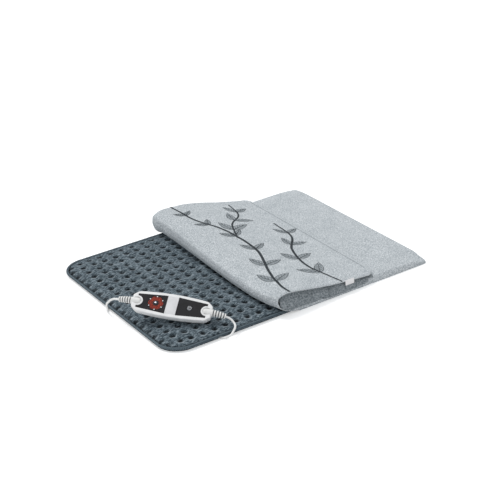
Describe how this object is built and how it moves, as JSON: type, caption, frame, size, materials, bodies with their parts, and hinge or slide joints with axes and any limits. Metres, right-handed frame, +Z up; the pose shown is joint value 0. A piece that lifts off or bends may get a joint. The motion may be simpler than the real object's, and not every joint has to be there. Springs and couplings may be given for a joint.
{
  "type": "heating pad with controller",
  "caption": "Flat quilted heating pad in a turned-back fleece cover, with an in-line hand controller, a pad lead and a coiled mains lead with a two-pin plug.",
  "frame": {"origin": "on the table, under the middle of the pad, cover and controller together, leads and plug left out", "axes": "+X along the pad's length towards its covered end, +Y towards its back edge, +Z up"},
  "size_m": [0.4495, 0.3899, 0.0477],
  "materials": {
    "quilt_plush": "short-pile dark slate plush, quilted",
    "piping_cloth": "dark slate woven edge tape",
    "heater_felt": "off-white bonded felt",
    "heater_wire": "red insulated heating wire",
    "sensor_black": "black resin-coated sensor",
    "fleece_light": "light grey mottled brushed fleece with a grey botanical print",
    "plush_grey": "mid-grey short plush",
    "label_cloth": "white woven tape",
    "shell_white": "satin white ABS",
    "panel_black": "smoked black plastic",
    "ring_red": "translucent red plastic",
    "lamp_white": "milky white light pipes",
    "button_silver": "silver-coated plastic",
    "button_black": "black plastic with a white power symbol",
    "board_green": "green circuit board laminate",
    "component_black": "black moulded component",
    "component_glass": "clear fuse glass",
    "component_film": "ochre dipped film capacitor",
    "component_terminal": "green terminal plastic",
    "screw_steel": "zinc-plated steel",
    "boot_white": "soft white moulded PVC",
    "lead_white": "white PVC jacket",
    "tie_black": "black nylon cable tie",
    "plug_white": "moulded white PVC",
    "pin_metal": "nickel-plated brass"
  },
  "bodies": {
    "pad": {"controller_upper_shell": "shell_white", "controller_lower_shell": "shell_white", "left_panel": "panel_black", "right_panel": "panel_black", "light_ring": "ring_red", "light_guide": "lamp_white", "circuit_board": "board_green", "level_switch": "component_black", "power_switch": "component_black", "board_fuse": "component_glass", "board_triac": "component_black", "board_capacitor": "component_film", "left_terminal": "component_terminal", "right_terminal": "component_terminal", "housing_screw_1": "screw_steel", "housing_screw_2": "screw_steel", "housing_screw_3": "screw_steel", "housing_screw_4": "screw_steel", "left_boot": "boot_white", "right_boot": "boot_white", "pad_quilt": "quilt_plush", "pad_backing": "quilt_plush", "pad_piping": "piping_cloth", "heating_carrier": "heater_felt", "heating_wire": "heater_wire", "temperature_sensor": "sensor_black", "pad_inlet": "boot_white", "cover_upper_sheet": "fleece_light", "cover_under_sheet": "fleece_light", "cover_lining": "plush_grey", "cover_gusset_front": "plush_grey", "cover_gusset_back": "plush_grey", "cover_label_tab": "label_cloth", "pad_lead": "lead_white", "mains_lead": "lead_white", "mains_lead_coil": "lead_white", "mains_lead_tail": "lead_white", "coil_tie": "tie_black", "plug_body": "plug_white", "plug_boot": "boot_white", "plug_pin_front": "pin_metal", "plug_pin_back": "pin_metal"},
    "level_button": {"level_button": "button_silver"},
    "power_button": {"power_button": "button_black"}
  },
  "joints": [
    {"name": "level_button_press", "type": "slide", "parent": "pad", "child": "level_button", "axis": [0.3022, 0.4478, -0.8415], "range_m": [0, 0.0006], "stiffness_N_per_m": 400, "springref_m": -0.0006},
    {"name": "power_button_press", "type": "slide", "parent": "pad", "child": "power_button", "axis": [0.3022, 0.4478, -0.8415], "range_m": [0, 0.0006], "stiffness_N_per_m": 400, "springref_m": -0.0006}
  ]
}
